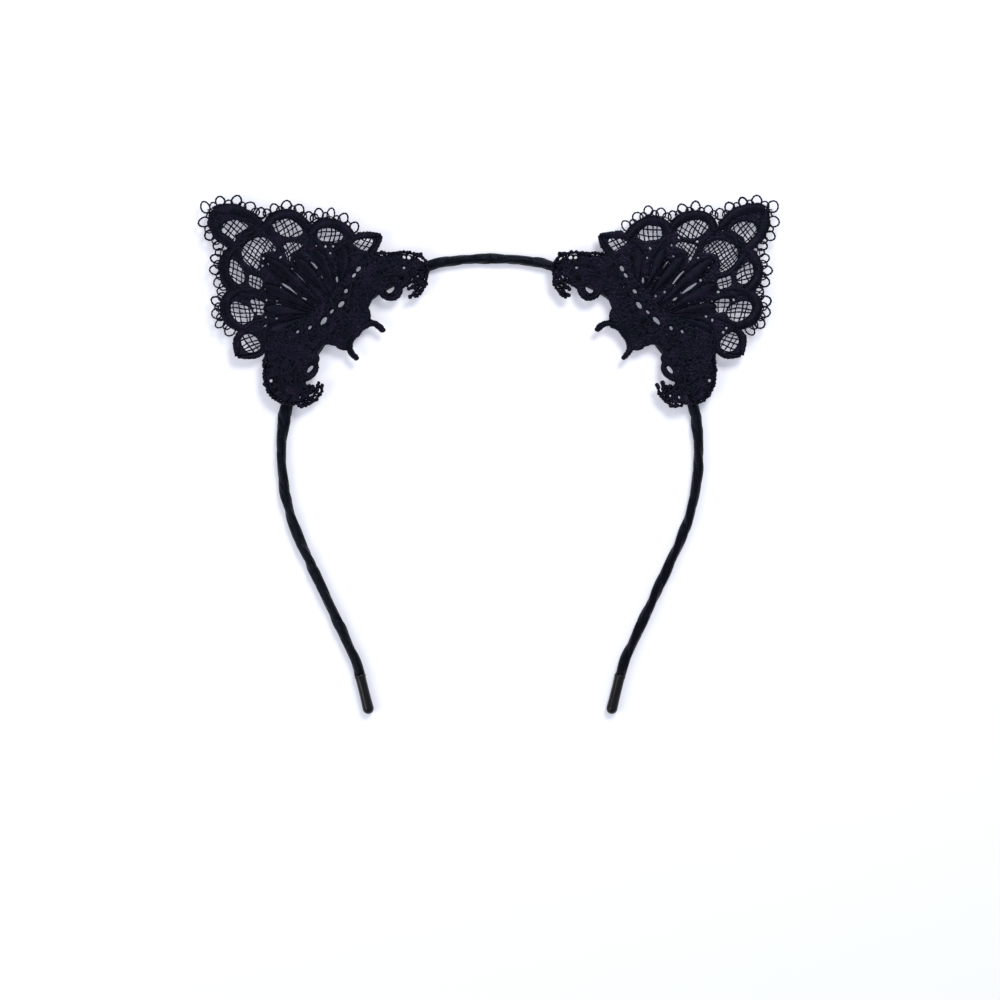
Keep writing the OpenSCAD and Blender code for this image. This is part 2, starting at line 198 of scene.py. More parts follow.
def cap_material():
    """Dipped glossy black end caps, with faint scuffs."""
    made, tree, shader = material("end_cap", (0.003, 0.003, 0.004), 0.2)
    shader.inputs["Specular IOR Level"].default_value = 0.3
    place = node(tree, "ShaderNodeTexCoord").outputs["Object"]
    mottle(tree, shader, place, 700.0, ((0.16,) * 3, (0.34,) * 3), "Roughness")
    scuff = node(tree, "ShaderNodeTexNoise", Scale=1800.0, Detail=3.0)
    tree.links.new(place, scuff.inputs["Vector"])
    bumped(tree, shader, scuff.outputs["Fac"], 0.00004, 0.25)
    return made


def wire_material():
    made, tree, shader = material("spring_wire", (0.45, 0.46, 0.48), 0.3)
    shader.inputs["Metallic"].default_value = 1.0
    place = node(tree, "ShaderNodeTexCoord").outputs["Object"]
    mottle(tree, shader, place, 1200.0, ((0.22,) * 3, (0.42,) * 3), "Roughness")
    return made


look_down()
studio()
LACE = thread_material("lace_embroidery",
                       ((0.0006, 0.001, 0.0015), (0.0015, 0.002, 0.0055), (0.008, 0.0045, 0.013)), 0.34)
NET = thread_material("lace_net", ((0.002, 0.0022, 0.005), (0.004, 0.0045, 0.01)), 0.5)
PICOT = thread_material("picot_thread", ((0.002, 0.002, 0.005), (0.004, 0.004, 0.009)), 0.5)
SEWING = thread_material("sewing_thread", ((0.002, 0.002, 0.004), (0.004, 0.004, 0.007)), 0.5)
RIBBON = ribbon_material()
CAP = cap_material()
WIRE = wire_material()

# ---------------------------------------------------------------- places from the frame, in millimetres
def box_mm(name):
    low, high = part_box(name)
    return np.array(low) / MM, np.array(high) / MM


def middle(name):
    low, high = box_mm(name)
    return (low + high) / 2


DRAWN_A, DRAWN_B = np.array((-28.1, -12.2)), np.array((33.6, -5.1))   # the sewn points in the ear's drawing
sewn_a, sewn_b = middle("right_crown_stitch")[:2], middle("right_leg_stitch")[:2]
chord, drawn_chord = sewn_b - sewn_a, DRAWN_B - DRAWN_A
EAR_K = np.linalg.norm(chord) / np.linalg.norm(drawn_chord)
EAR_TURN = math.atan2(chord[1], chord[0]) - math.atan2(drawn_chord[1], drawn_chord[0])
LACE_Z = box_mm("right_ear_base_band")[0][2]
BAND_Z = middle("right_ribbon")[2]
RIBBON_R = (box_mm("crown_ribbon")[1][2] - box_mm("crown_ribbon")[0][2]) / 2
CROWN_Y = box_mm("crown_ribbon")[1][1] - RIBBON_R


def turned(points, angle):
    c, s = math.cos(angle), math.sin(angle)
    return np.stack((points[..., 0] * c - points[..., 1] * s, points[..., 0] * s + points[..., 1] * c), -1)


EAR_ORIGIN = sewn_a - EAR_K * turned(DRAWN_A, EAR_TURN)


# ---------------------------------------------------------------- curves
def curve(points, step, closed=False):
    """A smooth curve through the points, resampled at an even step."""
    p = np.array(points, float)
    n = len(p)
    ring = np.vstack((p[-1], p, p[0], p[1])) if closed else np.vstack((2 * p[0] - p[1], p, 2 * p[-1] - p[-2]))
    dense = []
    for i in range(n if closed else n - 1):
        a, b, c, d = ring[i : i + 4]
        t = np.linspace(0, 1, 24, endpoint=False)[:, None]
        bend = 2 * a - 5 * b + 4 * c - d
        dense.append((2 * b + (c - a) * t + bend * t**2 + (3 * b - a - 3 * c + d) * t**3) / 2)
    dense.append(p[:1] if closed else p[-1:])
    dense = np.vstack(dense)
    run = np.concatenate(([0], np.cumsum(np.linalg.norm(np.diff(dense, axis=0), axis=1))))
    count = max(4, int(round(run[-1] / step)))
    at = np.linspace(0, run[-1], count + 1)
    if closed:
        at = at[:-1]
    return np.stack([np.interp(at, run, dense[:, k]) for k in range(dense.shape[1])], -1)


def inside(outline, points):
    """Which points lie inside a closed outline."""
    a = np.array(outline)
    b = np.roll(a, -1, axis=0)
    x, y = points[:, 0, None], points[:, 1, None]
    straddles = (a[:, 1] > y) != (b[:, 1] > y)
    rise = np.where(b[:, 1] == a[:, 1], 1e-9, b[:, 1] - a[:, 1])
    crossing = a[:, 0] + (y - a[:, 1]) * (b[:, 0] - a[:, 0]) / rise
    return (straddles & (x < crossing)).sum(1) % 2 == 1


def grown(outline, by):
    """An outline moved outwards by a distance, or inwards if it is negative."""
    p = np.array(outline, float)
    along = np.roll(p, -1, axis=0) - np.roll(p, 1, axis=0)
    along /= np.linalg.norm(along, axis=1)[:, None] + 1e-9
    area = np.sum(p[:, 0] * np.roll(p[:, 1], -1) - np.roll(p[:, 0], -1) * p[:, 1])
    return p + by * np.sign(area) * np.stack((along[:, 1], -along[:, 0]), -1)


def raised(path, z):
    """A flat path, lifted to one height."""
    return np.column_stack((path, np.full(len(path), z)))


# ---------------------------------------------------------------- meshes
class Build:
    """Vertices and faces gathered from several strokes into one mesh."""

    def __init__(self):
        self.points, self.faces, self.count = [], [], 0

    def add(self, points, faces):
        self.points.append(np.asarray(points, float))
        self.faces += [tuple(int(i) + self.count for i in f) for f in faces]
        self.count += len(points)

    def rings(self, rings, closed=False):
        """Rings of points, all of one length, joined into a closed tube."""
        n, m = rings.shape[:2]
        last = n if closed else n - 1
        i, k = np.meshgrid(np.arange(last), np.arange(m), indexing="ij")
        j, l = (i + 1) % n, (k + 1) % m
        quads = np.stack((i * m + k, i * m + l, j * m + l, j * m + k), -1).reshape(-1, 4).tolist()
        if not closed:
            quads += [list(range(m - 1, -1, -1)), [(n - 1) * m + x for x in range(m)]]
        self.add(rings.reshape(-1, 3), quads)


def side_of(path, closed):
    """Unit tangents and left-hand normals of a flat path."""
    if closed:
        along = np.roll(path, -1, axis=0) - np.roll(path, 1, axis=0)
    else:
        along = np.gradient(path, axis=0)
    along = along / (np.linalg.norm(along, axis=1)[:, None] + 1e-12)
    return along, np.stack((-along[:, 1], along[:, 0]), -1)


STITCH = 0.52               # width of one satin stitch
ACROSS = np.array((-1, -0.86, -0.5, 0, 0.5, 0.86, 1))


def satin(build, points, half, z, height, rng, closed=False, slant=0.25):
    """A raised bar of satin stitches: threads lie side by side across it, each a small ridge."""
    path = curve(points, STITCH / 4, closed)
    n = len(path)
    along, left = side_of(path, closed)
    if np.ndim(half):
        half = np.interp(np.linspace(0, 1, n), np.linspace(0, 1, len(half)), half)
    stitch = np.arange(n) // 4
    ridge = np.array((0.0, 0.75, 1.0, 0.75))[np.arange(n) % 4]
    jitter = rng.normal(0, 1, (stitch.max() + 2, 2))[stitch]
    width = half * (1 + 0.07 * jitter[:, 0]) + 0.16 * (ridge - 0.6)
    dome = np.sqrt(1 - 0.92 * ACROSS**2)
    top = z + height * dome[None] * (0.74 + 0.06 * jitter[:, 1:] + 0.24 * ridge[:, None])
    flat = (path[:, None] + left[:, None] * width[:, None, None] * ACROSS[:, None]
            + along[:, None] * (slant * half * np.ones(n))[:, None, None] * ACROSS[:, None])
    upper = np.concatenate((flat, top[..., None]), -1)
    lower = upper[:, [5, 3, 1]].copy()
    lower[..., 2] = z
    build.rings(np.concatenate((upper, lower), 1)[:, ::-1], closed)


def yarn(build, path, radius, closed=False, sides=7, lay=1.5):
    """A two-ply twisted thread along a path in space."""
    path = np.asarray(path, float)
    along = np.roll(path, -1, axis=0) - np.roll(path, 1, axis=0) if closed else np.gradient(path, axis=0)
    along /= np.linalg.norm(along, axis=1)[:, None] + 1e-12
    across = np.cross(along, (0, 0, 1.0))
    across /= np.linalg.norm(across, axis=1)[:, None] + 1e-12
    lift = np.cross(across, along)
    run = np.concatenate(([0], np.cumsum(np.linalg.norm(np.diff(path, axis=0), axis=1))))
    angle = np.arange(sides) * 2 * math.pi / sides
    twist = 1 + 0.16 * np.cos(2 * (angle[None] - math.pi * run[:, None] / lay))
    r = np.broadcast_to(np.asarray(radius, float), (len(path),))[:, None] * twist
    rings = (path[:, None] + across[:, None] * (r * np.cos(angle))[..., None]
             + lift[:, None] * (r * np.sin(angle))[..., None])
    build.rings(rings, closed)


def bead(build, centre, r):
    """A small knot of thread: round, with the threads' lay wound round it."""
    around = np.arange(12) * math.pi / 6
    rings = []
    for lift in np.radians((-80, -55, -28, 0, 28, 55, 80)):
        reach = r * math.cos(lift) * (1 + 0.07 * np.cos(4 * around + 3 * lift + centre[0]))
        rings.append(np.stack((centre[0] + reach * np.cos(around), centre[1] + reach * np.sin(around),
                               np.full(12, centre[2] + 0.85 * r * math.sin(lift))), -1))
    build.rings(np.array(rings))


# ---------------------------------------------------------------- placing what is drawn on an ear
LOOSE = 3                   # the lace's ends start to curl up this far from the sewn points


def settle(points, sign):
    """The lace isn't quite flat or regular: it drifts by tenths of a millimetre, differently on each ear.

    Its loose ends, near the sewn points and beyond them, curl up off the band.
    """
    u, v, z = points[:, 0], points[:, 1], points[:, 2]
    far = np.clip((v + 4) / 30, 0, 1)
    du = 0.35 * far * np.sin(0.17 * v + 1.3 * sign) + 0.12 * np.sin(0.55 * v + 0.4 * u + sign)
    dv = 0.35 * far * np.sin(0.15 * u - 0.9 * sign) + 0.12 * np.sin(0.5 * u - 0.3 * v - sign)
    dz = 0.45 * far * (1 + np.sin(0.16 * u + 0.11 * v + 0.8 * sign)) / 2
    inner = np.interp(u, (DRAWN_A[0], DRAWN_B[0]), (DRAWN_A[1], DRAWN_B[1])) - v
    past_a, past_b = (DRAWN_A[0] - u) / LOOSE, (u - DRAWN_B[0]) / LOOSE
    dz += 0.4 * (np.clip(past_a + 1, 0, 1) + np.clip(past_b + 1, 0, 1)) * np.clip(inner, 0, 2.5)
    dz += 0.5 * np.clip(past_a, 0, 1) + 0.5 * np.clip(past_b, 0, 1)
    return np.stack((u + du, v + dv, np.maximum(z, 0) + dz), -1)


def place_on_ear(points, sign):
    points = settle(points, sign)
    flat = EAR_ORIGIN + EAR_K * turned(points[:, :2], EAR_TURN)
    return np.stack((sign * flat[:, 0], flat[:, 1], points[:, 2] + LACE_Z), -1)


def piece(name, points, faces, finish, flip=False):
    mesh = bpy.data.meshes.new(name)
    mesh.from_pydata((np.asarray(points) * MM).tolist(), [], [f[::-1] for f in faces] if flip else faces)
    mesh.materials.append(finish)
    for polygon in mesh.polygons:
        polygon.use_smooth = True
    made = bpy.data.objects.new(name, mesh)
    bpy.context.scene.collection.objects.link(made)
    return made


def ear_piece(side, sign, name, build, finish, slot, *nodes):
    points = place_on_ear(np.vstack(build.points), sign)
    made = piece(f"{side}_{name}", points, build.faces, finish, flip=sign < 0)
    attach(made, f"{side}_ear")
    if nodes:
        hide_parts(*[f"{side}_{n}" for n in nodes])
    return made


# ---------------------------------------------------------------- dense embroidery
GRAIN = 0.22                # size of the grid it is made on


def reach_to(outline, points):
    """Signed distance from points to a closed outline, positive inside."""
    a = np.array(outline, float)
    b = np.roll(a, -1, axis=0)
    best = np.full(len(points), 1e9)
    for p, q in zip(a, b):
        d = q - p
        t = np.clip(((points - p) @ d) / (d @ d + 1e-12), 0, 1)
        best = np.minimum(best, ((points - p - t[:, None] * d) ** 2).sum(1))
    return np.sqrt(best) * np.where(inside(a, points), 1, -1)


def mat(build, outline, holes, z, thickness, bump, cell, seed):
    """Dense embroidery: a closed flat body with holes, rounded edges and a surface of small knots."""
    low = np.array(outline).min(0) - 2 * GRAIN
    count = np.ceil((np.array(outline).max(0) + 2 * GRAIN - low) / GRAIN).astype(int) + 1
    grid = np.stack(np.meshgrid(*(low[k] + GRAIN * np.arange(count[k]) for k in (0, 1)), indexing="ij"), -1)
    flat = grid.reshape(-1, 2)
    depth = reach_to(outline, flat)
    for hole in holes:
        hole = np.array(hole)
        near = ((flat > hole.min(0) - 1.5) & (flat < hole.max(0) + 1.5)).all(1)
        depth[near] = np.minimum(depth[near], -reach_to(hole, flat[near]))
    field = depth.reshape(count)
    slope = np.stack(np.gradient(field, GRAIN), -1)
    slope /= np.linalg.norm(slope, axis=-1, keepdims=True) + 1e-9
    on_edge = np.abs(field) < 0.55 * GRAIN
    grid = np.where(on_edge[..., None], grid - field[..., None] * slope, grid)
    kept = field > -0.55 * GRAIN
    cells = kept[:-1, :-1] & kept[1:, :-1] & kept[1:, 1:] & kept[:-1, 1:]
    i, k = np.nonzero(cells)
    n = count[1]
    quads = np.stack((i * n + k, (i + 1) * n + k, (i + 1) * n + k + 1, i * n + k + 1), -1)
    edges = np.concatenate([quads[:, [c, (c + 1) % 4]] for c in range(4)])
    found = {tuple(e) for e in edges.tolist()}
    rim = [e for e in edges.tolist() if (e[1], e[0]) not in found]
    used, quads_new = np.unique(quads, return_inverse=True)
    quads_new = quads_new.reshape(-1, 4)
    place = {int(v): c for c, v in enumerate(used)}
    spots, deep = grid.reshape(-1, 2)[used], np.clip(field.reshape(-1)[used], 0, None)
    deep[on_edge.reshape(-1)[used]] = 0
    swell = np.sqrt(np.clip(deep / 0.7, 0, 1))
    relief = bump * (knots(spots, cell, seed) - 0.6) * (0.35 + 0.65 * swell)
    top = z + thickness * (0.45 + 0.55 * swell) + relief
    total = len(used)
    upper, lower = np.column_stack((spots, top)), raised(spots, z)
    faces = quads_new.tolist() + (quads_new[:, ::-1] + total).tolist()
    faces += [[place[b], place[a], place[a] + total, place[b] + total] for a, b in rim]
    build.add(np.vstack((upper, lower)), faces)


def knots(flat, cell, seed):
    """Round bumps on a jittered grid, 0 between them and 1 on top."""
    base = np.floor(flat / cell)
    nearest = np.full(len(flat), 9.0)
    for du in (-1, 0, 1):
        for dv in (-1, 0, 1):
            at = base + (du, dv)
            mix = np.sin(at[:, 0] * 12.9898 + at[:, 1] * 78.233 + seed) * 43758.5453
            shift = np.stack((mix % 1, (mix * 1.7) % 1), -1)
            nearest = np.minimum(nearest, np.linalg.norm(at + 0.15 + 0.7 * shift - flat / cell, axis=1))
    return np.sqrt(np.clip(1 - (nearest / 0.75) ** 2, 0, 1))


# ---------------------------------------------------------------- the ear's drawing, in millimetres
# u runs along the ear's base away from the crown, v towards its tip. Windows are where only the net shows.
WINDOWS = {
    "tip": [(-2.4, 41), (-2.2, 44), (-0.6, 46.4), (1.6, 47.6), (3.8, 46.4), (5, 43.8), (4.6, 41.2),
            (2.6, 42), (0, 41.4)],
    "middle": [(-2, 28.4), (-3, 31.4), (-2.4, 34.6), (-0.2, 36.6), (3, 37.8), (5.6, 37.2), (7.2, 34.8),
               (7.4, 31.4), (6.6, 28.6), (4.6, 30.6), (1.6, 31.4), (-0.6, 30)],
    "upper_crown": [(-12.7, 26.4), (-13.1, 30), (-12.1, 33), (-9.8, 35), (-7.4, 35.2), (-6.9, 32),
                    (-7.8, 29), (-10.2, 26.6)],
    "small_crown": [(-9, 22.8), (-8.6, 25), (-6.2, 27.4), (-4.6, 28.2), (-3.2, 25.6), (-2, 22.8),
                    (-4.6, 24.4)],
    "upper_leg": [(10, 38.2), (12.8, 37), (14.4, 34.8), (14.7, 32), (12.8, 30.8), (10.8, 32.2), (9.6, 35)],
    "small_leg": [(8.6, 26.4), (9.4, 29.8), (10.6, 30.2), (12.2, 28.4), (12, 25.4), (10, 25)],
    "lower_crown": [(-20, 15.2), (-20.2, 18.6), (-18.6, 21.6), (-15.6, 22.4), (-14.2, 20.2), (-15.8, 17.2),
                    (-17.8, 14.8)],
    "lower_leg": [(18, 22.8), (18.8, 27), (20.4, 29.4), (22.7, 28.8), (24.1, 26), (23.5, 22.6), (20.6, 21)],
    "notch_leg": [(14, 20.4), (14.4, 23.6), (15.8, 25), (17.2, 23.4), (18.4, 20.8), (16.8, 19.2)],
    "crown_leaf": [(-20.4, 11.6), (-23, 10), (-25, 7.2), (-23.4, 5.4), (-20.6, 6)],
    "leg_leaf": [(24.4, 17.6), (25.6, 19.6), (28, 19.4), (29.8, 17.2), (29.2, 14.6), (26.8, 13),
                 (24.8, 14.4)],
}
SLITS = [((-0.7, 20.6), (0.1, 13.4), 0.42), ((4.9, 20.8), (4.6, 14), 0.42), ((-6.6, 18), (-6.1, 14.4), 0.45),
         ((-5, 12.4), (-4.3, 10.6), 0.42), ((4.4, 12.2), (4.1, 10.6), 0.36),
         ((11.2, 18.6), (10.8, 16.4), 0.4), ((-10.6, 19.2), (-10.3, 17.4), 0.5),
         ((-8.2, 7.8), (-6.6, 6.4), 0.4)]
FIELD = [(-19, 3), (-27.4, 4.9), (-25, 8.4), (-22.3, 10.4), (-22.1, 15.8), (-21.3, 20), (-19.2, 22.7),
         (-15, 24.4), (-15, 29.8), (-14.2, 33), (-12, 35.6), (-8.8, 37), (-5.8, 37.2), (-5.8, 44),
         (-4.4, 48), (0.4, 53), (5, 48), (6.2, 44), (6.2, 40.2), (9, 40.3), (12.4, 39.6), (15, 37.6),
         (16.4, 34.8), (17, 31.8), (22.4, 31.6), (24.9, 29.4), (25.9, 26), (25, 21.6), (28, 20.6),
         (32.6, 17), (27.4, 12.4), (21, 8), (0, -2)]
BASE = [(-21.5, 3.4), (-16, 5.6), (-9, 6), (-3, 6), (3, 6.4), (9, 8.4), (15, 11), (21, 13.2), (25.6, 12),
        (24, 4), (19.6, -4.6), (15, -3), (11.6, -3.8), (9.4, -7), (2, -7.8), (-5.6, -7), (-10.4, -6),
        (-14, -7.6), (-18, -3)]
BASE_WINDOWS = [(-14.6, 4, 1.0, 0.6), (-12, 3.7, 0.9, 0.45), (-6.1, 2.5, 0.75, 0.55), (-1.7, 0.9, 1.25, 0.7),
                (6.1, 1.9, 1.6, 0.7), (1.9, 1.7, 0.8, 0.4), (10.8, 4.2, 0.7, 0.45), (14.2, 6.4, 0.6, 0.4),
                (-9.4, 0.9, 0.5, 0.4), (3.4, -1.4, 0.35, 0.3)]
PETALS = [((-7, 5), (-17, 12.5), 2.3), ((-4.5, 5.4), (-10.8, 19), 2.2), ((-1.5, 5), (-4.4, 22.6), 2.35),
          ((2.3, 5), (1.9, 29.8), 2.35), ((5, 5.4), (9.4, 24.8), 2.35), ((7, 7), (15, 19.8), 2.25),
          ((9.5, 8), (19.8, 14), 2.1)]
CROWN_ARCHES = [[(-5.2, 36.1), (-9, 36.7), (-12.3, 35.1), (-14.4, 32), (-15, 28.6), (-14.6, 25.4)],
                [(-13.4, 23.8), (-17, 23.7), (-19.8, 21.9), (-21.6, 18.8), (-22, 15), (-20.9, 11)]]
LEG_ARCHES = [[(5, 39.6), (9.2, 40.1), (12.9, 38.9), (15.6, 36.3), (16.6, 33.2), (17, 30.6)],
              [(15.6, 30), (19.2, 31.5), (22.4, 31.1), (24.8, 29), (25.7, 25.6), (24.5, 21.2)]]
CROWN_RIBS = [[(-5.4, 38), (-5, 32), (-3.2, 26.4)],
              [(-14.4, 25), (-11.6, 21.6), (-9, 20.6)],
              [(-13.6, 24.6), (-12.8, 19.6), (-11.6, 15.6)],
              [(-20.6, 11.6), (-17.8, 13.2), (-14.2, 14)],
              [(-20.4, 4.4), (-18, 8), (-13, 10.6)]]
LEG_RIBS = [[(6.6, 39), (8.4, 34), (8.6, 30), (7.4, 26.4)],
            [(16.8, 31), (13.6, 28), (11.8, 24.6)],
            [(17, 30), (15.8, 27.4), (13.8, 24.4), (12.8, 20.8)],
            [(24.4, 21.4), (20.6, 20), (17.6, 17.6)],
            [(24, 13.4), (21, 15.2), (18.4, 15.2)]]
TIP_SIDES = [[(-5.2, 38), (-5.6, 43.6), (-4.4, 47.8), (-2, 51.2), (0.2, 53.4)],
             [(0.6, 53.4), (3, 51.2), (5.2, 47.6), (5.9, 43.4), (5.6, 38.4)]]
TIP_FOOT = [(-4.4, 40), (-2.4, 38.6), (0.4, 39.6), (3, 38.8), (4.8, 40)]
CROWN_LEAF = [[(-20.6, 12), (-23.6, 10.4), (-25.8, 7.8), (-28, 5)],
              [(-27.8, 4.8), (-24.8, 4), (-20.4, 3.6)]]
LEG_LEAF = [[(25, 20.8), (28.4, 20.8), (31, 19), (33.2, 17.2)],
            [(33, 16.8), (30.8, 14), (28.2, 12), (25, 11.8)]]
SPUR_CORD = [(-4.1, -15.2), (-3.9, -12.4), (-3, -10.6), (-0.4, -9.4), (2.4, -9), (5.2, -9.2), (7.6, -10.4),
             (8.5, -12.2), (8.7, -14.2)]
SPUR_FILL = [(-6.2, -6.2), (-4.6, -9.6), (-1.4, -9.8), (2.4, -8.8), (6, -9.2), (9, -10.2), (10, -6.2),
             (2, -5)]
CROWN_SCROLL = [(-20.6, 3), (-23, 0.4), (-25.6, -2), (-27.6, -4.4), (-29.2, -7.2), (-29.8, -10.2),
                (-28.4, -12.8), (-25.6, -12.9), (-23.2, -12), (-20.8, -12.6), (-18.8, -11.9), (-16.6, -12.2),
                (-14.2, -10.9), (-13, -8.4), (-12.6, -5)]
CROWN_EYES = [(-16.1, -8.7, 1.45, 1.0), (-21, -9.2, 0.5, 0.4), (-28, -6.9, 0.5, 0.6), (-27, -5.6, 0.4, 0.55),
              (-24.2, -7.6, 0.4, 0.4)]
CROWN_CURLS = [[(-19, -1.4), (-14.6, -4.6), (-12.9, -8.2), (-14.2, -11.2), (-17, -11.8), (-19, -9.8),
                (-17.8, -7)],
               [(-13, 1), (-19, -1.6), (-24, -5), (-26.4, -9.4)],
               [(-14, -2), (-19.6, -5.2), (-22.6, -9.6)]]
CROWN_STRANDS = [[(-21.8, 2.6), (-23.9, 0.4), (-26, -2), (-28.1, -4.3), (-29.8, -7), (-31.2, -9)],
                 [(-30, -7.6), (-30.8, -10.6), (-29.4, -13.2), (-27.2, -14.9), (-24.6, -16.4), (-21.8, -17),
                  (-19, -16.6)],
                 [(-29.2, -11), (-27.2, -13.4), (-24.2, -15.2), (-21.4, -15.7), (-18.4, -15.4)],
                 [(-27.6, -11.9), (-25.2, -13.5), (-22.4, -14.2), (-20, -13.6)],
                 [(-26, -11.6), (-23.4, -12.6), (-20.6, -12.2)],
                 [(-24.6, -15.6), (-23.8, -13.2)],
                 [(-21.4, -16.4), (-21.6, -14)]]
LEG_SCROLL = [(21, 12.6), (24.6, 11.4), (28.4, 8.4), (31.6, 6.4), (34.4, 3.2), (35.8, -0.6), (35.4, -4.4),
              (33.6, -7.4), (31.4, -9.6), (28.4, -9.8), (26.4, -8.4), (25.8, -6.2), (24.4, -6.8),
              (21.6, -7.4), (18.6, -5.6), (16, -2.6)]
LEG_EYES = [(21.4, -4.6, 1.35, 0.6), (27.6, -3.2, 0.45, 0.4), (32.4, 3.2, 0.5, 0.45), (30.4, -8, 0.5, 0.35)]
LEG_CURLS = [[(18, -0.4), (23.6, -1.4), (28, -3.6), (29.4, -6.6), (27.4, -8.2)],
             [(20, 5), (26, 3.4), (31, 0.4), (33.2, -4.4)],
             [(17.4, -3), (20, -6.2), (23.8, -6.2), (25.4, -4.4)]]
LEG_STRANDS = [[(24, 12), (27, 10), (30, 7.8), (32.6, 5.7), (34.9, 2.9), (36.1, -0.6), (36, -4),
                (34.2, -6.6), (32.8, -8.6)],
               [(33, -9.4), (31.2, -11.4), (28.6, -12.2), (25.4, -12.2), (22.8, -11.2)],
               [(31.6, -10), (28.6, -10.8), (25.6, -10.6), (23.2, -9.6)],
               [(30.2, -8.6), (27.4, -9.2), (25.4, -9)],
               [(28.8, -12), (29.2, -9.6)],
               [(25.8, -12), (26, -8)]]
# Picot loops from the tip down each side: [centre u, v]
CROWN_PICOTS = [(1, 56.2), (-3.9, 53.6), (-6.9, 49.4), (-8.3, 44.9), (-8.6, 40.8), (-12.2, 38.7),
                (-15.6, 35.9), (-17.5, 31.9), (-17.6, 27.8), (-20.9, 25.7), (-23.6, 22.4), (-24.8, 18.2),
                (-24.7, 13.8)]
LEG_PICOTS = [(5.6, 53), (8.2, 48.9), (8.9, 44.6), (12.4, 42.8), (16, 40.7), (18.5, 37.5), (20, 34.5),
              (23.6, 34.3), (26.9, 32), (28.6, 28.4), (28.5, 24.4)]
FAN_FOCUS = np.array((0.8, 4.2))   # the petals and the net spread from here
RELIEF_Z = 0.4              # the embroidery stands on the net from this height above the lace's back
SMALL = 0.25                # half the thickness of the net's threads


def ellipse(u, v, ru, rv, count=14):
    a = np.arange(count) * 2 * math.pi / count
    return np.stack((u + ru * np.cos(a), v + rv * np.sin(a)), -1)


def outline_area(outline):
    x, y = np.array(outline, float).T
    return abs(np.sum(x * np.roll(y, -1) - np.roll(x, -1) * y)) / 2


def slot_hole(start, end, r):
    """A narrow lens between two points."""
    start, end = np.array(start), np.array(end)
    along = (end - start) / np.linalg.norm(end - start)
    across = np.array((-along[1], along[0]))
    middle_point = (start + end) / 2
    return np.array((start, middle_point + r * across, end, middle_point - r * across))


# ---------------------------------------------------------------- the pieces of an ear
def window_net(build, outline, pitch, rng):
    """Net threads across a window: one set runs out from the fan's focus, the other across it."""
    reach = grown(curve(outline, 0.8, closed=True), 0.7)
    centre = reach.mean(0)
    out = centre - FAN_FOCUS
    out /= np.linalg.norm(out)
    for turn, z, share in ((0.12, 0.16, 1.0), (math.pi / 2 - 0.1, 0.3, 1.15)):
        along = turned(out, turn)
        across = np.array((-along[1], along[0]))
        width = np.abs((reach - centre) @ across).max()
        place = -width + pitch * share * rng.uniform(0.3, 0.8)
        while place < width:
            t = np.linspace(-14, 14, 141)
            bow = 0.02 * rng.normal() * t**2 + 0.12 * np.sin(0.9 * t + rng.uniform(0, 6))
            line = centre + np.outer(t, along) + np.outer(place + bow, across)
            kept = inside(reach, line)
            edges = np.flatnonzero(np.diff(np.concatenate(([0], kept, [0]))))
            for a, b in edges.reshape(-1, 2):
                if b - a > 4:
                    run = line[a:b]
                    height = z + 0.05 * np.sin(2.2 * t[a:b])
                    yarn(build, np.column_stack((run, height)), SMALL * rng.uniform(0.75, 1.1), sides=6)
            place += pitch * share * rng.uniform(0.75, 1.25)


def ear_net(side, sign, rng):
    build = Build()
    for name, outline in WINDOWS.items():
        window_net(build, outline, 1.2 if name in ("middle", "small_crown", "small_leg") else 1.45, rng)
    return ear_piece(side, sign, "net_threads", build, NET, "lace_net", "ear_net")


def pinholes(rng, count=56):
    """Small gaps left in the dense embroidery, clear of the windows and of each other."""
    near = [grown(curve(w, 0.8, closed=True), 1.0) for w in WINDOWS.values()]
    inner = grown(FIELD, -1.6)
    found = []
    while len(found) < count:
        spot = np.array((rng.uniform(-20, 26), rng.uniform(7, 40)))
        if (inside(inner, spot[None])[0] and not any(inside(w, spot[None])[0] for w in near)
                and all(np.linalg.norm(spot - other) > 1.7 for other in found)):
            found.append(spot)
    return found


def ear_field(side, sign, rng):
    """The dense ground between the windows, with slits between the petals and pinholes."""
    build = Build()
    holes = [curve(w, 0.5, closed=True) for w in WINDOWS.values()]
    holes += [curve(slot_hole(*s), 0.3, closed=True) for s in SLITS]
    holes += [ellipse(*spot, rng.uniform(0.3, 0.5), rng.uniform(0.25, 0.42), 8) for spot in pinholes(rng)]
    holes += [ellipse(*w) for w in BASE_WINDOWS]
    mat(build, curve(FIELD, 0.8, closed=True), holes, 0.05, 0.5, 0.45, 0.8, 3.1)
    ground = ear_piece(side, sign, "ground_stitching", build, LACE, "lace_embroidery")
    return ground, outline_area(FIELD) - sum(outline_area(hole) for hole in holes)


def petal_profile(width):
    t = np.linspace(0, 1, 24)
    body = 0.2 + 0.8 * np.clip(t / 0.72, 0, 1) ** 0.8
    return width * body * np.sqrt(1 - 0.97 * np.clip((t - 0.72) / 0.28, 0, 1) ** 2)


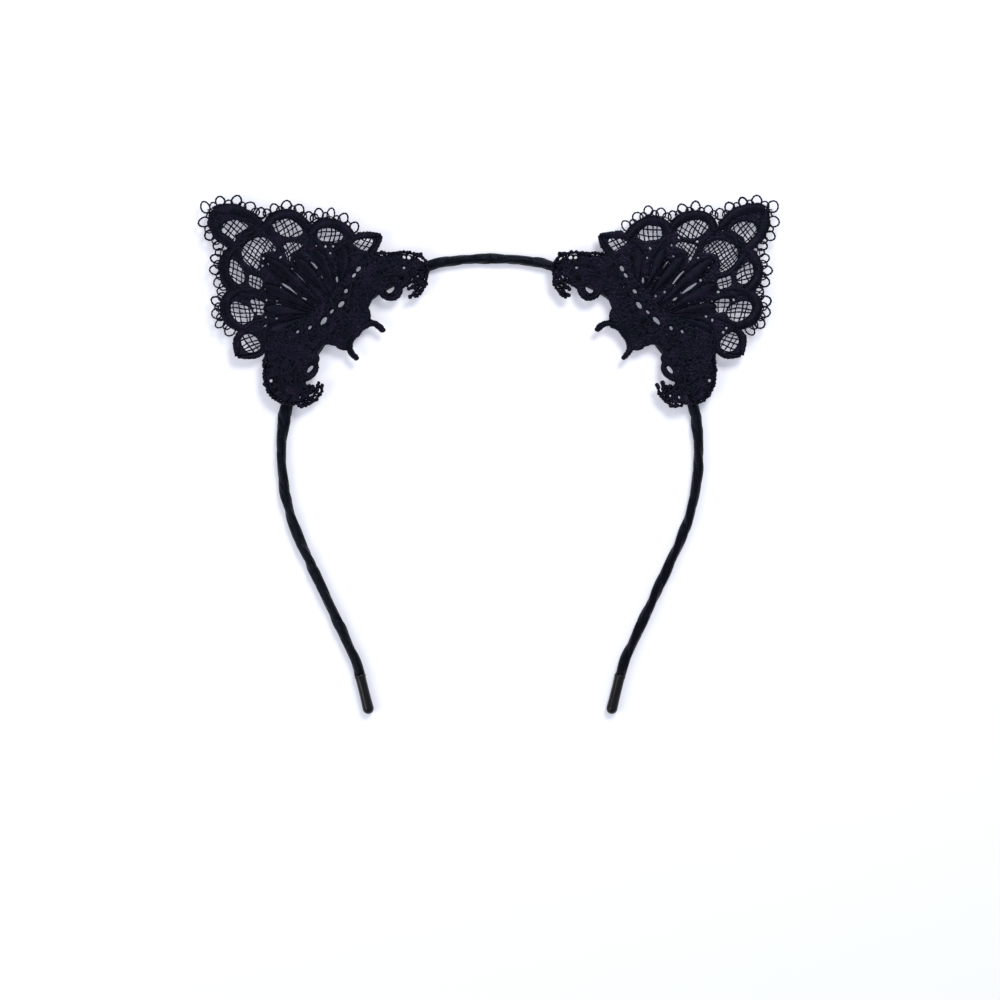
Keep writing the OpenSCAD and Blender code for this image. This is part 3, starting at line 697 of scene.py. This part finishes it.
def ear_fan(side, sign, rng):
    build = Build()
    for foot, top, width in PETALS:
        foot, top = np.array(foot, float), np.array(top, float)
        bow = np.array((-(top - foot)[1], (top - foot)[0])) / np.linalg.norm(top - foot) * rng.normal(0, 0.25)
        satin(build, [foot, (foot + top) / 2 + bow, top], petal_profile(width) - 0.35, RELIEF_Z, 0.75, rng)
        edge = petal_profile(width)
        spine = curve([foot, (foot + top) / 2 + bow, top], 0.8)
        _, left = side_of(spine, False)
        reach = np.interp(np.linspace(0, 1, len(spine)), np.linspace(0, 1, len(edge)), edge)[:, None]
        rim = np.vstack((spine + left * reach, (spine - left * reach)[::-1]))
        satin(build, rim, 0.36, RELIEF_Z, 0.62, rng)
    return ear_piece(side, sign, "fan_petals", build, LACE, "lace_embroidery", "ear_fan_petals")


def ear_arches(side, sign, rng, name, arches, ribs):
    build = Build()
    for arch in arches:
        satin(build, arch, (1.1, 1.5, 1.6, 1.6, 1.5, 1.2), RELIEF_Z, 0.8, rng)
        rim = curve(arch, 0.8)
        _, left = side_of(rim, False)
        outward = 1.45 if np.dot(left[len(rim) // 2], rim[len(rim) // 2] - (0.8, 20)) > 0 else -1.45
        yarn(build, raised(rim + outward * left, 0.62), 0.3)
    for rib in ribs:
        satin(build, rib, (1.1, 0.85, 0.6), RELIEF_Z - 0.05, 0.6, rng)
    return ear_piece(side, sign, name, build, LACE, "lace_embroidery", f"ear_{name}")


def ear_tip(side, sign, rng):
    build = Build()
    satin(build, TIP_SIDES[0], (1.3, 1.6, 1.7, 1.9, 1.1), RELIEF_Z, 0.8, rng)
    satin(build, TIP_SIDES[1], (1.1, 1.9, 1.7, 1.6, 1.3), RELIEF_Z, 0.78, rng)
    satin(build, TIP_FOOT, (0.5, 1, 1, 1, 0.5), RELIEF_Z, 0.6, rng)
    return ear_piece(side, sign, "tip_petal", build, LACE, "lace_embroidery", "ear_tip_petal")


def ear_leaf(side, sign, rng, name, strokes):
    build = Build()
    satin(build, strokes[0], (1.1, 1.3, 1.2, 0.5), RELIEF_Z, 0.75, rng)
    satin(build, strokes[1], (0.5, 1.0, 1.1), RELIEF_Z, 0.75, rng)
    return ear_piece(side, sign, name, build, LACE, "lace_embroidery", f"ear_{name}")


def ear_base(side, sign, rng):
    build = Build()
    low = curve([(-17, -2), (-10, -5.4), (-5, -6), (2, -6.6), (9, -6), (12, -3), (18, -3.4)], 1)
    high = curve([(-20, 2.4), (-15, 3), (-8, 2.6), (0, 1.2), (8, 3), (15, 6.6), (23, 11)], 1)
    low, high = (c[np.linspace(0, len(c) - 1, 24).astype(int)] for c in (low, high))
    for share in (0.08, 0.26, 0.44, 0.62, 0.8):
        row = low * (1 - share) + high * share + rng.normal(0, 0.12, low.shape)
        satin(build, row, 0.5, 0.55, 0.75, rng)
    holes = [ellipse(*w) for w in BASE_WINDOWS]
    mat(build, curve(BASE, 0.6, closed=True), holes, 0, 0.95, 0.75, 0.9, 1.7)
    return ear_piece(side, sign, "base_band", build, LACE, "lace_embroidery", "ear_base_band")


def ear_spurs(side, sign, rng):
    build = Build()
    path = curve(SPUR_CORD, 0.4)
    satin(build, path, 1.12 + 0.1 * np.sin(np.linspace(0, 25, 60)), 0.05, 1.05, rng)
    for end in (path[0], path[-1]):
        bead(build, (*end, 0.6), 0.85)
    mat(build, curve(SPUR_FILL, 0.6, closed=True), [], 0.1, 0.8, 0.35, 0.8, 4.4)
    return ear_piece(side, sign, "spurs", build, LACE, "lace_embroidery", "ear_spurs")


def bead_row(build, points, pitch, r, z, rng):
    for spot in curve(points, pitch):
        bead(build, (*(spot + rng.normal(0, 0.17, 2)), z + rng.normal(0, 0.05)), r * rng.uniform(0.72, 1.2))


def ear_scroll(side, sign, rng, name, outline, eyes, curls, strands, seed):
    """A scroll: knotted body, raised curls, and strands of beads along its edges and down its tail."""
    build = Build()
    for strand in strands:
        bead_row(build, strand, 1.08, 0.76, 0.6, rng)
        yarn(build, raised(curve(strand, 0.5), 0.5), 0.42)
    for curl in curls:
        satin(build, curl, (0.5, 0.85, 0.9, 0.6), 0.6, 0.75, rng)
    mat(build, curve(outline, 0.6, closed=True), [ellipse(*e) for e in eyes], 0, 0.9, 0.75, 0.9, seed)
    return ear_piece(side, sign, name, build, LACE, "lace_embroidery", f"ear_{name}")


def loop(centre, out, wide, tall, rng):
    """One picot: a thread comes out of the border, round and back, crossing itself at the foot."""
    a = np.linspace(-0.5 * math.pi - 0.55, 1.5 * math.pi + 0.55, 42)
    across = np.array((-out[1], out[0]))
    squeeze = 1 - 0.12 * np.sin(a)
    x = wide * np.cos(a) * squeeze * (1 + 0.05 * rng.normal())
    y = tall * np.sin(a)
    foot = np.clip((np.abs(a - math.pi / 2) - math.pi) / 0.55, 0, 1)
    y = y - 0.7 * foot * tall
    flat = centre + np.outer(x, across) + np.outer(y, out)
    return np.column_stack((flat, 0.3 + 0.16 * np.sin(a + rng.uniform(0, 3))))


def ear_picots(side, sign, rng):
    """Two rows of thread loops outside the arches: large at the rim, small ones tying them to the border."""
    build = Build()
    for chain in (CROWN_PICOTS, LEG_PICOTS):
        spots = np.array(chain, float)
        _, left = side_of(spots, False)
        out = left * np.sign(((spots - FAN_FOCUS) * left).sum(1))[:, None]
        for spot, way in zip(spots, out):
            spot = spot - 0.25 * way + rng.normal(0, 0.16, 2)
            wide, tall = 1.58 * rng.uniform(0.9, 1.1), 1.75 * rng.uniform(0.9, 1.1)
            yarn(build, loop(spot, way, wide, tall, rng), 0.29 * rng.uniform(0.88, 1.15), sides=6, lay=1.1)
        between, way = (spots[1:] + spots[:-1]) / 2, (out[1:] + out[:-1]) / 2
        for spot, way in zip(between, way):
            spot = spot - 1.15 * way + rng.normal(0, 0.12, 2)
            yarn(build, loop(spot, way, 1.3, 1.35, rng), 0.26, sides=6, lay=1.1)
        path = curve(spots - 1.5 * out + rng.normal(0, 0.12, spots.shape), 0.4)
        sway = 0.22 * np.sin(np.linspace(0, len(spots) * 4.4, len(path)))
        _, side_way = side_of(path, False)
        yarn(build, raised(path + sway[:, None] * side_way, 0.3), 0.2, sides=6, lay=1.1)
    return ear_piece(side, sign, "picot_loops", build, PICOT, "picot_thread", "ear_picots")


def make_ear(side, sign, seed):
    """One lace ear: its ground is the cloth, and everything else is embroidered on it."""
    rng = np.random.default_rng(seed)
    ground, area = ear_field(side, sign, rng)
    relief = [
        ear_net(side, sign, rng),
        ear_fan(side, sign, rng),
        ear_arches(side, sign, rng, "crown_arches", CROWN_ARCHES, CROWN_RIBS),
        ear_arches(side, sign, rng, "leg_arches", LEG_ARCHES, LEG_RIBS),
        ear_tip(side, sign, rng),
        ear_leaf(side, sign, rng, "crown_leaf", CROWN_LEAF),
        ear_leaf(side, sign, rng, "leg_leaf", LEG_LEAF),
        ear_base(side, sign, rng),
        ear_spurs(side, sign, rng),
        ear_scroll(side, sign, rng, "crown_scroll", CROWN_SCROLL, CROWN_EYES, CROWN_CURLS, CROWN_STRANDS, 2.2),
        ear_scroll(side, sign, rng, "leg_scroll", LEG_SCROLL, LEG_EYES, LEG_CURLS, LEG_STRANDS, 6.6),
        ear_picots(side, sign, rng),
    ]


# ---------------------------------------------------------------- the band
# The centreline's arcs: radius before scaling, and heading in degrees below level at the end of each
ARCS = ((103, 7.5), (39, 19.5), (76, 65.5), (37, 80), (72, 115))
FLICK_R, FLICK_TURN = 40, 11        # the ends flick out again, by this radius and this many degrees


def heading_vector(h):
    return np.array((math.cos(math.radians(h)), -math.sin(math.radians(h))))


def inward(h):
    return np.array((-math.sin(math.radians(h)), -math.cos(math.radians(h))))


def centreline(step=0.4):
    """Points and headings from the middle of the crown to the mouth of the right cap."""
    spot, start, points, headings = np.zeros(2), 0.0, [], []
    for radius, end in ARCS:
        centre = spot + radius * inward(start)
        for h in np.linspace(start, end, int(radius * math.radians(end - start) / step) + 2)[:-1]:
            points.append(centre - radius * inward(h))
            headings.append(h)
        spot, start = centre - radius * inward(end), end
        widest = centre[0] + radius
    wire_low, wire_high = box_mm("right_wire")
    scale = (wire_high[0] - (wire_high[2] - wire_low[2]) / 2) / widest
    points, spot = [scale * p for p in points], scale * spot
    cap_low, cap_high = box_mm("right_tip_cap")
    cap_r = (cap_high[2] - cap_low[2]) / 2
    cap_heading = start - FLICK_TURN
    flick = FLICK_R * (inward(cap_heading) - inward(start))
    mouth_y = cap_high[1] - CROWN_Y - cap_r * abs(math.cos(math.radians(cap_heading)))
    leg = (spot[1] + flick[1] - mouth_y) / math.sin(math.radians(start))
    for run in np.arange(0, leg, step):
        points.append(spot + run * heading_vector(start))
        headings.append(start)
    spot = spot + leg * heading_vector(start)
    for h in np.linspace(start, cap_heading, 16):
        points.append(spot + FLICK_R * (inward(h) - inward(start)))
        headings.append(h)
    return np.array(points), np.array(headings), cap_heading


# ---------------------------------------------------------------- the ribbon wound round the wire
TWIST_LEN = 33              # along the band, for the wrapped ribbon's flattened shape to turn right round
PITCH = 9.2                 # along the band, from one turn of the ribbon to the next
FACETS = 44
WRAP_ROUND = 10.5           # the weave's map, once round the ribbon


def wrap_rings(points, headings, run, sign, rng):
    """Rings round the centreline: a flattened tube that twists, with a seam where each turn laps the last."""
    angle = np.arange(FACETS) * 2 * math.pi / FACETS
    marks = np.arange(0, run[-1] + 14, 7.0)
    change = rng.normal(0, 1, (3, len(marks))) * (marks > 0)
    drift, squeeze, slip = (np.interp(run, marks, c)[:, None] for c in change)
    t = angle[None] - sign * 2 * math.pi * (run[:, None] + 1.8 * drift) / TWIST_LEN
    lap = ((run[:, None] + 1.2 * slip) / PITCH - sign * angle[None] / (2 * math.pi)) % 1
    oval = 1.54 + (0.13 + 0.05 * squeeze) * np.cos(2 * t)
    seam = 0.2 * np.sin(math.pi * np.clip(lap * 1.04, 0, 1)) ** 0.55 * (1.15 - 0.5 * lap) - 0.03
    folds = 0.055 * np.cos(3 * t + 0.5 * drift) + 0.045 * np.sin(5 * t + 0.12 * run[:, None])
    r = np.clip(oval + seam + folds + 0.02 * np.sin(9 * t + squeeze), 1.15, 2.1)
    ear_edge = run[np.argmin(np.linalg.norm(points + (0, CROWN_Y) - sewn_b, axis=1))] + 5
    bulge = 0.38 if sign < 0 else 0.16      # the ribbon is loosest where it leaves the left ear
    flare = 1 + bulge * np.exp(-(((run - ear_edge) / 4.5) ** 2))
    side_way = np.array([inward(h) for h in headings])
    rings = np.empty((len(points), FACETS, 3))
    rings[..., :2] = points[:, None] + side_way[:, None] * (flare[:, None] * r * np.cos(angle))[..., None]
    rings[..., 2] = BAND_Z + np.clip(r * np.sin(angle), -RIBBON_R, RIBBON_R)
    wrap = np.stack((np.broadcast_to((angle / (2 * math.pi)) * WRAP_ROUND, r.shape), run[:, None] + 0 * r), -1)
    return rings, wrap


def wound_ribbon(side, sign, rng):
    points, headings, _ = centreline()
    run = np.concatenate(([0], np.cumsum(np.linalg.norm(np.diff(points, axis=0), axis=1))))
    rings, wrap = wrap_rings(points, headings, run, sign, rng)
    build = Build()
    build.rings(rings)
    spots = np.vstack(build.points)
    placed = np.stack((sign * spots[:, 0], spots[:, 1] + CROWN_Y, spots[:, 2]), -1)
    made = piece(f"{side}_wound_ribbon", placed, build.faces, RIBBON, flip=sign < 0)
    layer = made.data.uv_layers.new(name="wrap")
    table = wrap.reshape(-1, 2)
    corner = np.zeros(len(made.data.loops), int)
    made.data.loops.foreach_get("vertex_index", corner)
    uv = table[corner]
    starts = np.array([p.loop_start for p in made.data.polygons])
    for start, polygon in zip(starts, made.data.polygons):
        span = slice(start, start + polygon.loop_total)
        if polygon.loop_total == 4 and np.ptp(uv[span, 0]) > WRAP_ROUND / 2:
            uv[span, 0] = np.where(uv[span, 0] < WRAP_ROUND / 2, uv[span, 0] + WRAP_ROUND, uv[span, 0])
    layer.data.foreach_set("uv", uv.ravel())
    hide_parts(f"{side}_ribbon", "crown_ribbon")
    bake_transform(made)


def end_cap(side, sign):
    """A dipped cap: a soft lip at its mouth, slightly waisted, and a rounded tip."""
    low, high = box_mm(f"{side}_tip_cap")
    r = (high[2] - low[2]) / 2
    points, _, heading = centreline()
    mouth = points[-1]
    length = (mouth[1] + CROWN_Y - low[1] - r) / abs(heading_vector(heading)[1]) + r
    profile = [(0.05, 0.55), (0.0, 0.8), (0.12, 0.96), (0.45, 1.0), (0.8, 0.985), (1.3, 0.93), (2.4, 0.91)]
    profile = [(a, b * r) for a, b in profile]
    profile += [(length - r - 3, 0.93 * r), (length - r - 0.6, 0.97 * r)]
    for a in np.radians((0, 18, 36, 54, 70, 82, 88)):
        profile.append((length - r + r * math.sin(a), 0.985 * r * math.cos(a)))
    angle = np.arange(40) * 2 * math.pi / 40
    along, across = heading_vector(heading), inward(heading)
    rings = []
    for at, radius in profile:
        spot = mouth + along * at
        wave = 1 + 0.006 * np.sin(3 * angle + 0.4 * at)
        flat = spot + np.outer(radius * wave * np.cos(angle), across)
        rise = BAND_Z + radius * wave * np.sin(angle)
        rings.append(np.column_stack((sign * flat[:, 0], flat[:, 1] + CROWN_Y, rise)))
    build = Build()
    build.rings(np.array(rings))
    made = piece(f"{side}_end_cap", np.vstack(build.points), build.faces, CAP, flip=sign < 0)
    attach(made, f"{side}_side")
    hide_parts(f"{side}_tip_cap")


def sewn_loops(side, sign, which, rng):
    """Three turns of sewing thread over the lace and down to the band."""
    low, high = box_mm(f"right_{which}_stitch")
    middle_xy = (low + high)[:2] / 2
    build = Build()
    half, top, foot = 1.1, high[2] - 0.16, low[2] + 0.05
    along = chord / np.linalg.norm(chord)
    across = (-chord[1], chord[0]) / np.linalg.norm(chord)
    for place in (-0.16, 0.02, 0.2):
        lean = rng.normal(0, 0.06)
        t = np.linspace(0, 1, 26)
        out = half * np.clip(1.35 * np.cos(math.pi * t), -1, 1)
        rise = foot + (top - foot) * np.clip(1.5 * np.sin(math.pi * t), 0, 1) ** 0.8
        flat = middle_xy + np.outer(out, along) + np.outer(place + lean * t, across)
        path = np.column_stack((sign * flat[:, 0], flat[:, 1], rise))
        yarn(build, path, 0.12, sides=7, lay=0.7)
    made = piece(f"{side}_{which}_sewn_loops", np.vstack(build.points), build.faces, SEWING, flip=sign < 0)
    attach(made, f"{side}_side")
    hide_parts(f"{side}_{which}_stitch")


for side, sign in SIDES:
    chance = np.random.default_rng(20 + sign)
    make_ear(side, sign, 40 + sign)
    wound_ribbon(side, sign, chance)
    end_cap(side, sign)
    for which in ("crown", "leg"):
        sewn_loops(side, sign, which, chance)
for name in ("crown_wire", "left_wire", "right_wire"):
    wire = bpy.data.objects[name]
    wire.data.materials.clear()
    wire.data.materials.append(WIRE)
